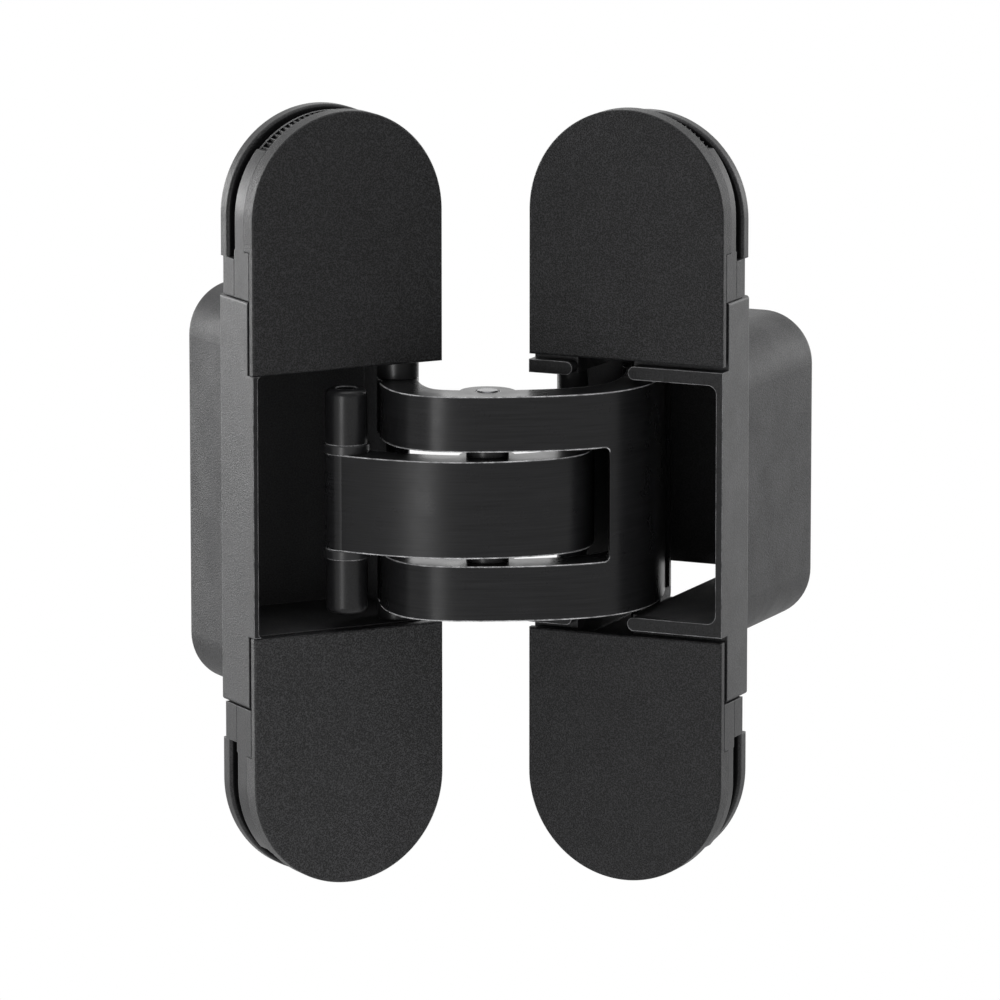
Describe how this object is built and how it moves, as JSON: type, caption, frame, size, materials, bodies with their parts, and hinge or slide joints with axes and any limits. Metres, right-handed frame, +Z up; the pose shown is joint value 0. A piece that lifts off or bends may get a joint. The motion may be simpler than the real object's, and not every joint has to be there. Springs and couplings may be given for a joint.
{
  "type": "concealed door hinge",
  "caption": "Concealed adjustable door hinge in matt black: two mortised casings with rounded end covers, joined by a forked arm and a centre arm that cross on one pin.",
  "frame": {"origin": "middle of the frame leaf's four fixing holes, on the plane where its end plates seat", "axes": "+Z up along the hinge, +Y into the door frame (the frame leaf's visible face looks along -Y), +X from the frame leaf's outer edge towards the arms"},
  "size_m": [0.0869, 0.0517, 0.1114],
  "materials": {
    "casing_black": "matt black powder coat on die-cast zinc",
    "cover_black": "fine-grained matt black",
    "arm_black": "satin black coating with worn bright edges",
    "pin_black": "blackened steel, polished ends",
    "screw_black": "black oxide",
    "bearing_black": "smooth bearing plastic"
  },
  "bodies": {
    "frame_leaf": {"frame_casing": "casing_black", "frame_clamp_screws": "screw_black", "frame_lower_adjuster": "screw_black", "frame_lower_cover": "cover_black", "frame_lower_plate": "casing_black", "frame_lower_shim": "casing_black", "frame_lower_slide": "casing_black", "frame_pivot_pin": "pin_black", "frame_upper_adjuster": "screw_black", "frame_upper_cover": "cover_black", "frame_upper_plate": "casing_black", "frame_upper_shim": "casing_black", "frame_upper_slide": "casing_black", "lower_frame_washer": "bearing_black", "upper_frame_washer": "bearing_black"},
    "fork": {"centre_pin": "pin_black", "fork_arm": "arm_black", "lower_centre_washer": "bearing_black", "lower_roller": "bearing_black", "roller_pin": "pin_black", "upper_centre_washer": "bearing_black", "upper_roller": "bearing_black"},
    "centre_arm": {"centre_arm": "arm_black", "front_pin": "pin_black", "lower_front_washer": "bearing_black", "lower_sleeve": "pin_black", "upper_front_washer": "bearing_black", "upper_sleeve": "pin_black"},
    "door_leaf": {"door_casing": "casing_black", "door_clamp_screws": "screw_black", "door_lower_adjuster": "screw_black", "door_lower_cover": "cover_black", "door_lower_plate": "casing_black", "door_lower_shim": "casing_black", "door_lower_slide": "casing_black", "door_pivot_pin": "pin_black", "door_upper_adjuster": "screw_black", "door_upper_cover": "cover_black", "door_upper_plate": "casing_black", "door_upper_shim": "casing_black", "door_upper_slide": "casing_black", "lower_door_spacer": "bearing_black", "upper_door_spacer": "bearing_black"}
  },
  "joints": [
    {"name": "fork_swing", "type": "hinge", "parent": "frame_leaf", "child": "fork", "pos_m": [0.0106, -0.0053, 0], "axis": [0, 0, 1], "range_deg": [-84.62, 34.38]},
    {"name": "arms_cross", "type": "hinge", "parent": "fork", "child": "centre_arm", "pos_m": [0.0163, -0.0221, 0], "axis": [0, 0, 1], "range_deg": [-16.8, 41.29]},
    {"name": "door_swing", "type": "hinge", "parent": "centre_arm", "child": "door_leaf", "pos_m": [0.03305, -0.01625, 0], "axis": [0, 0, 1], "range_deg": [-84.67, 34.43]}
  ],
  "couplings": [
    {"joint": "arms_cross", "follows": "fork_swing", "ratio": -0.48736},
    {"joint": "door_swing", "follows": "fork_swing", "ratio": 1}
  ]
}
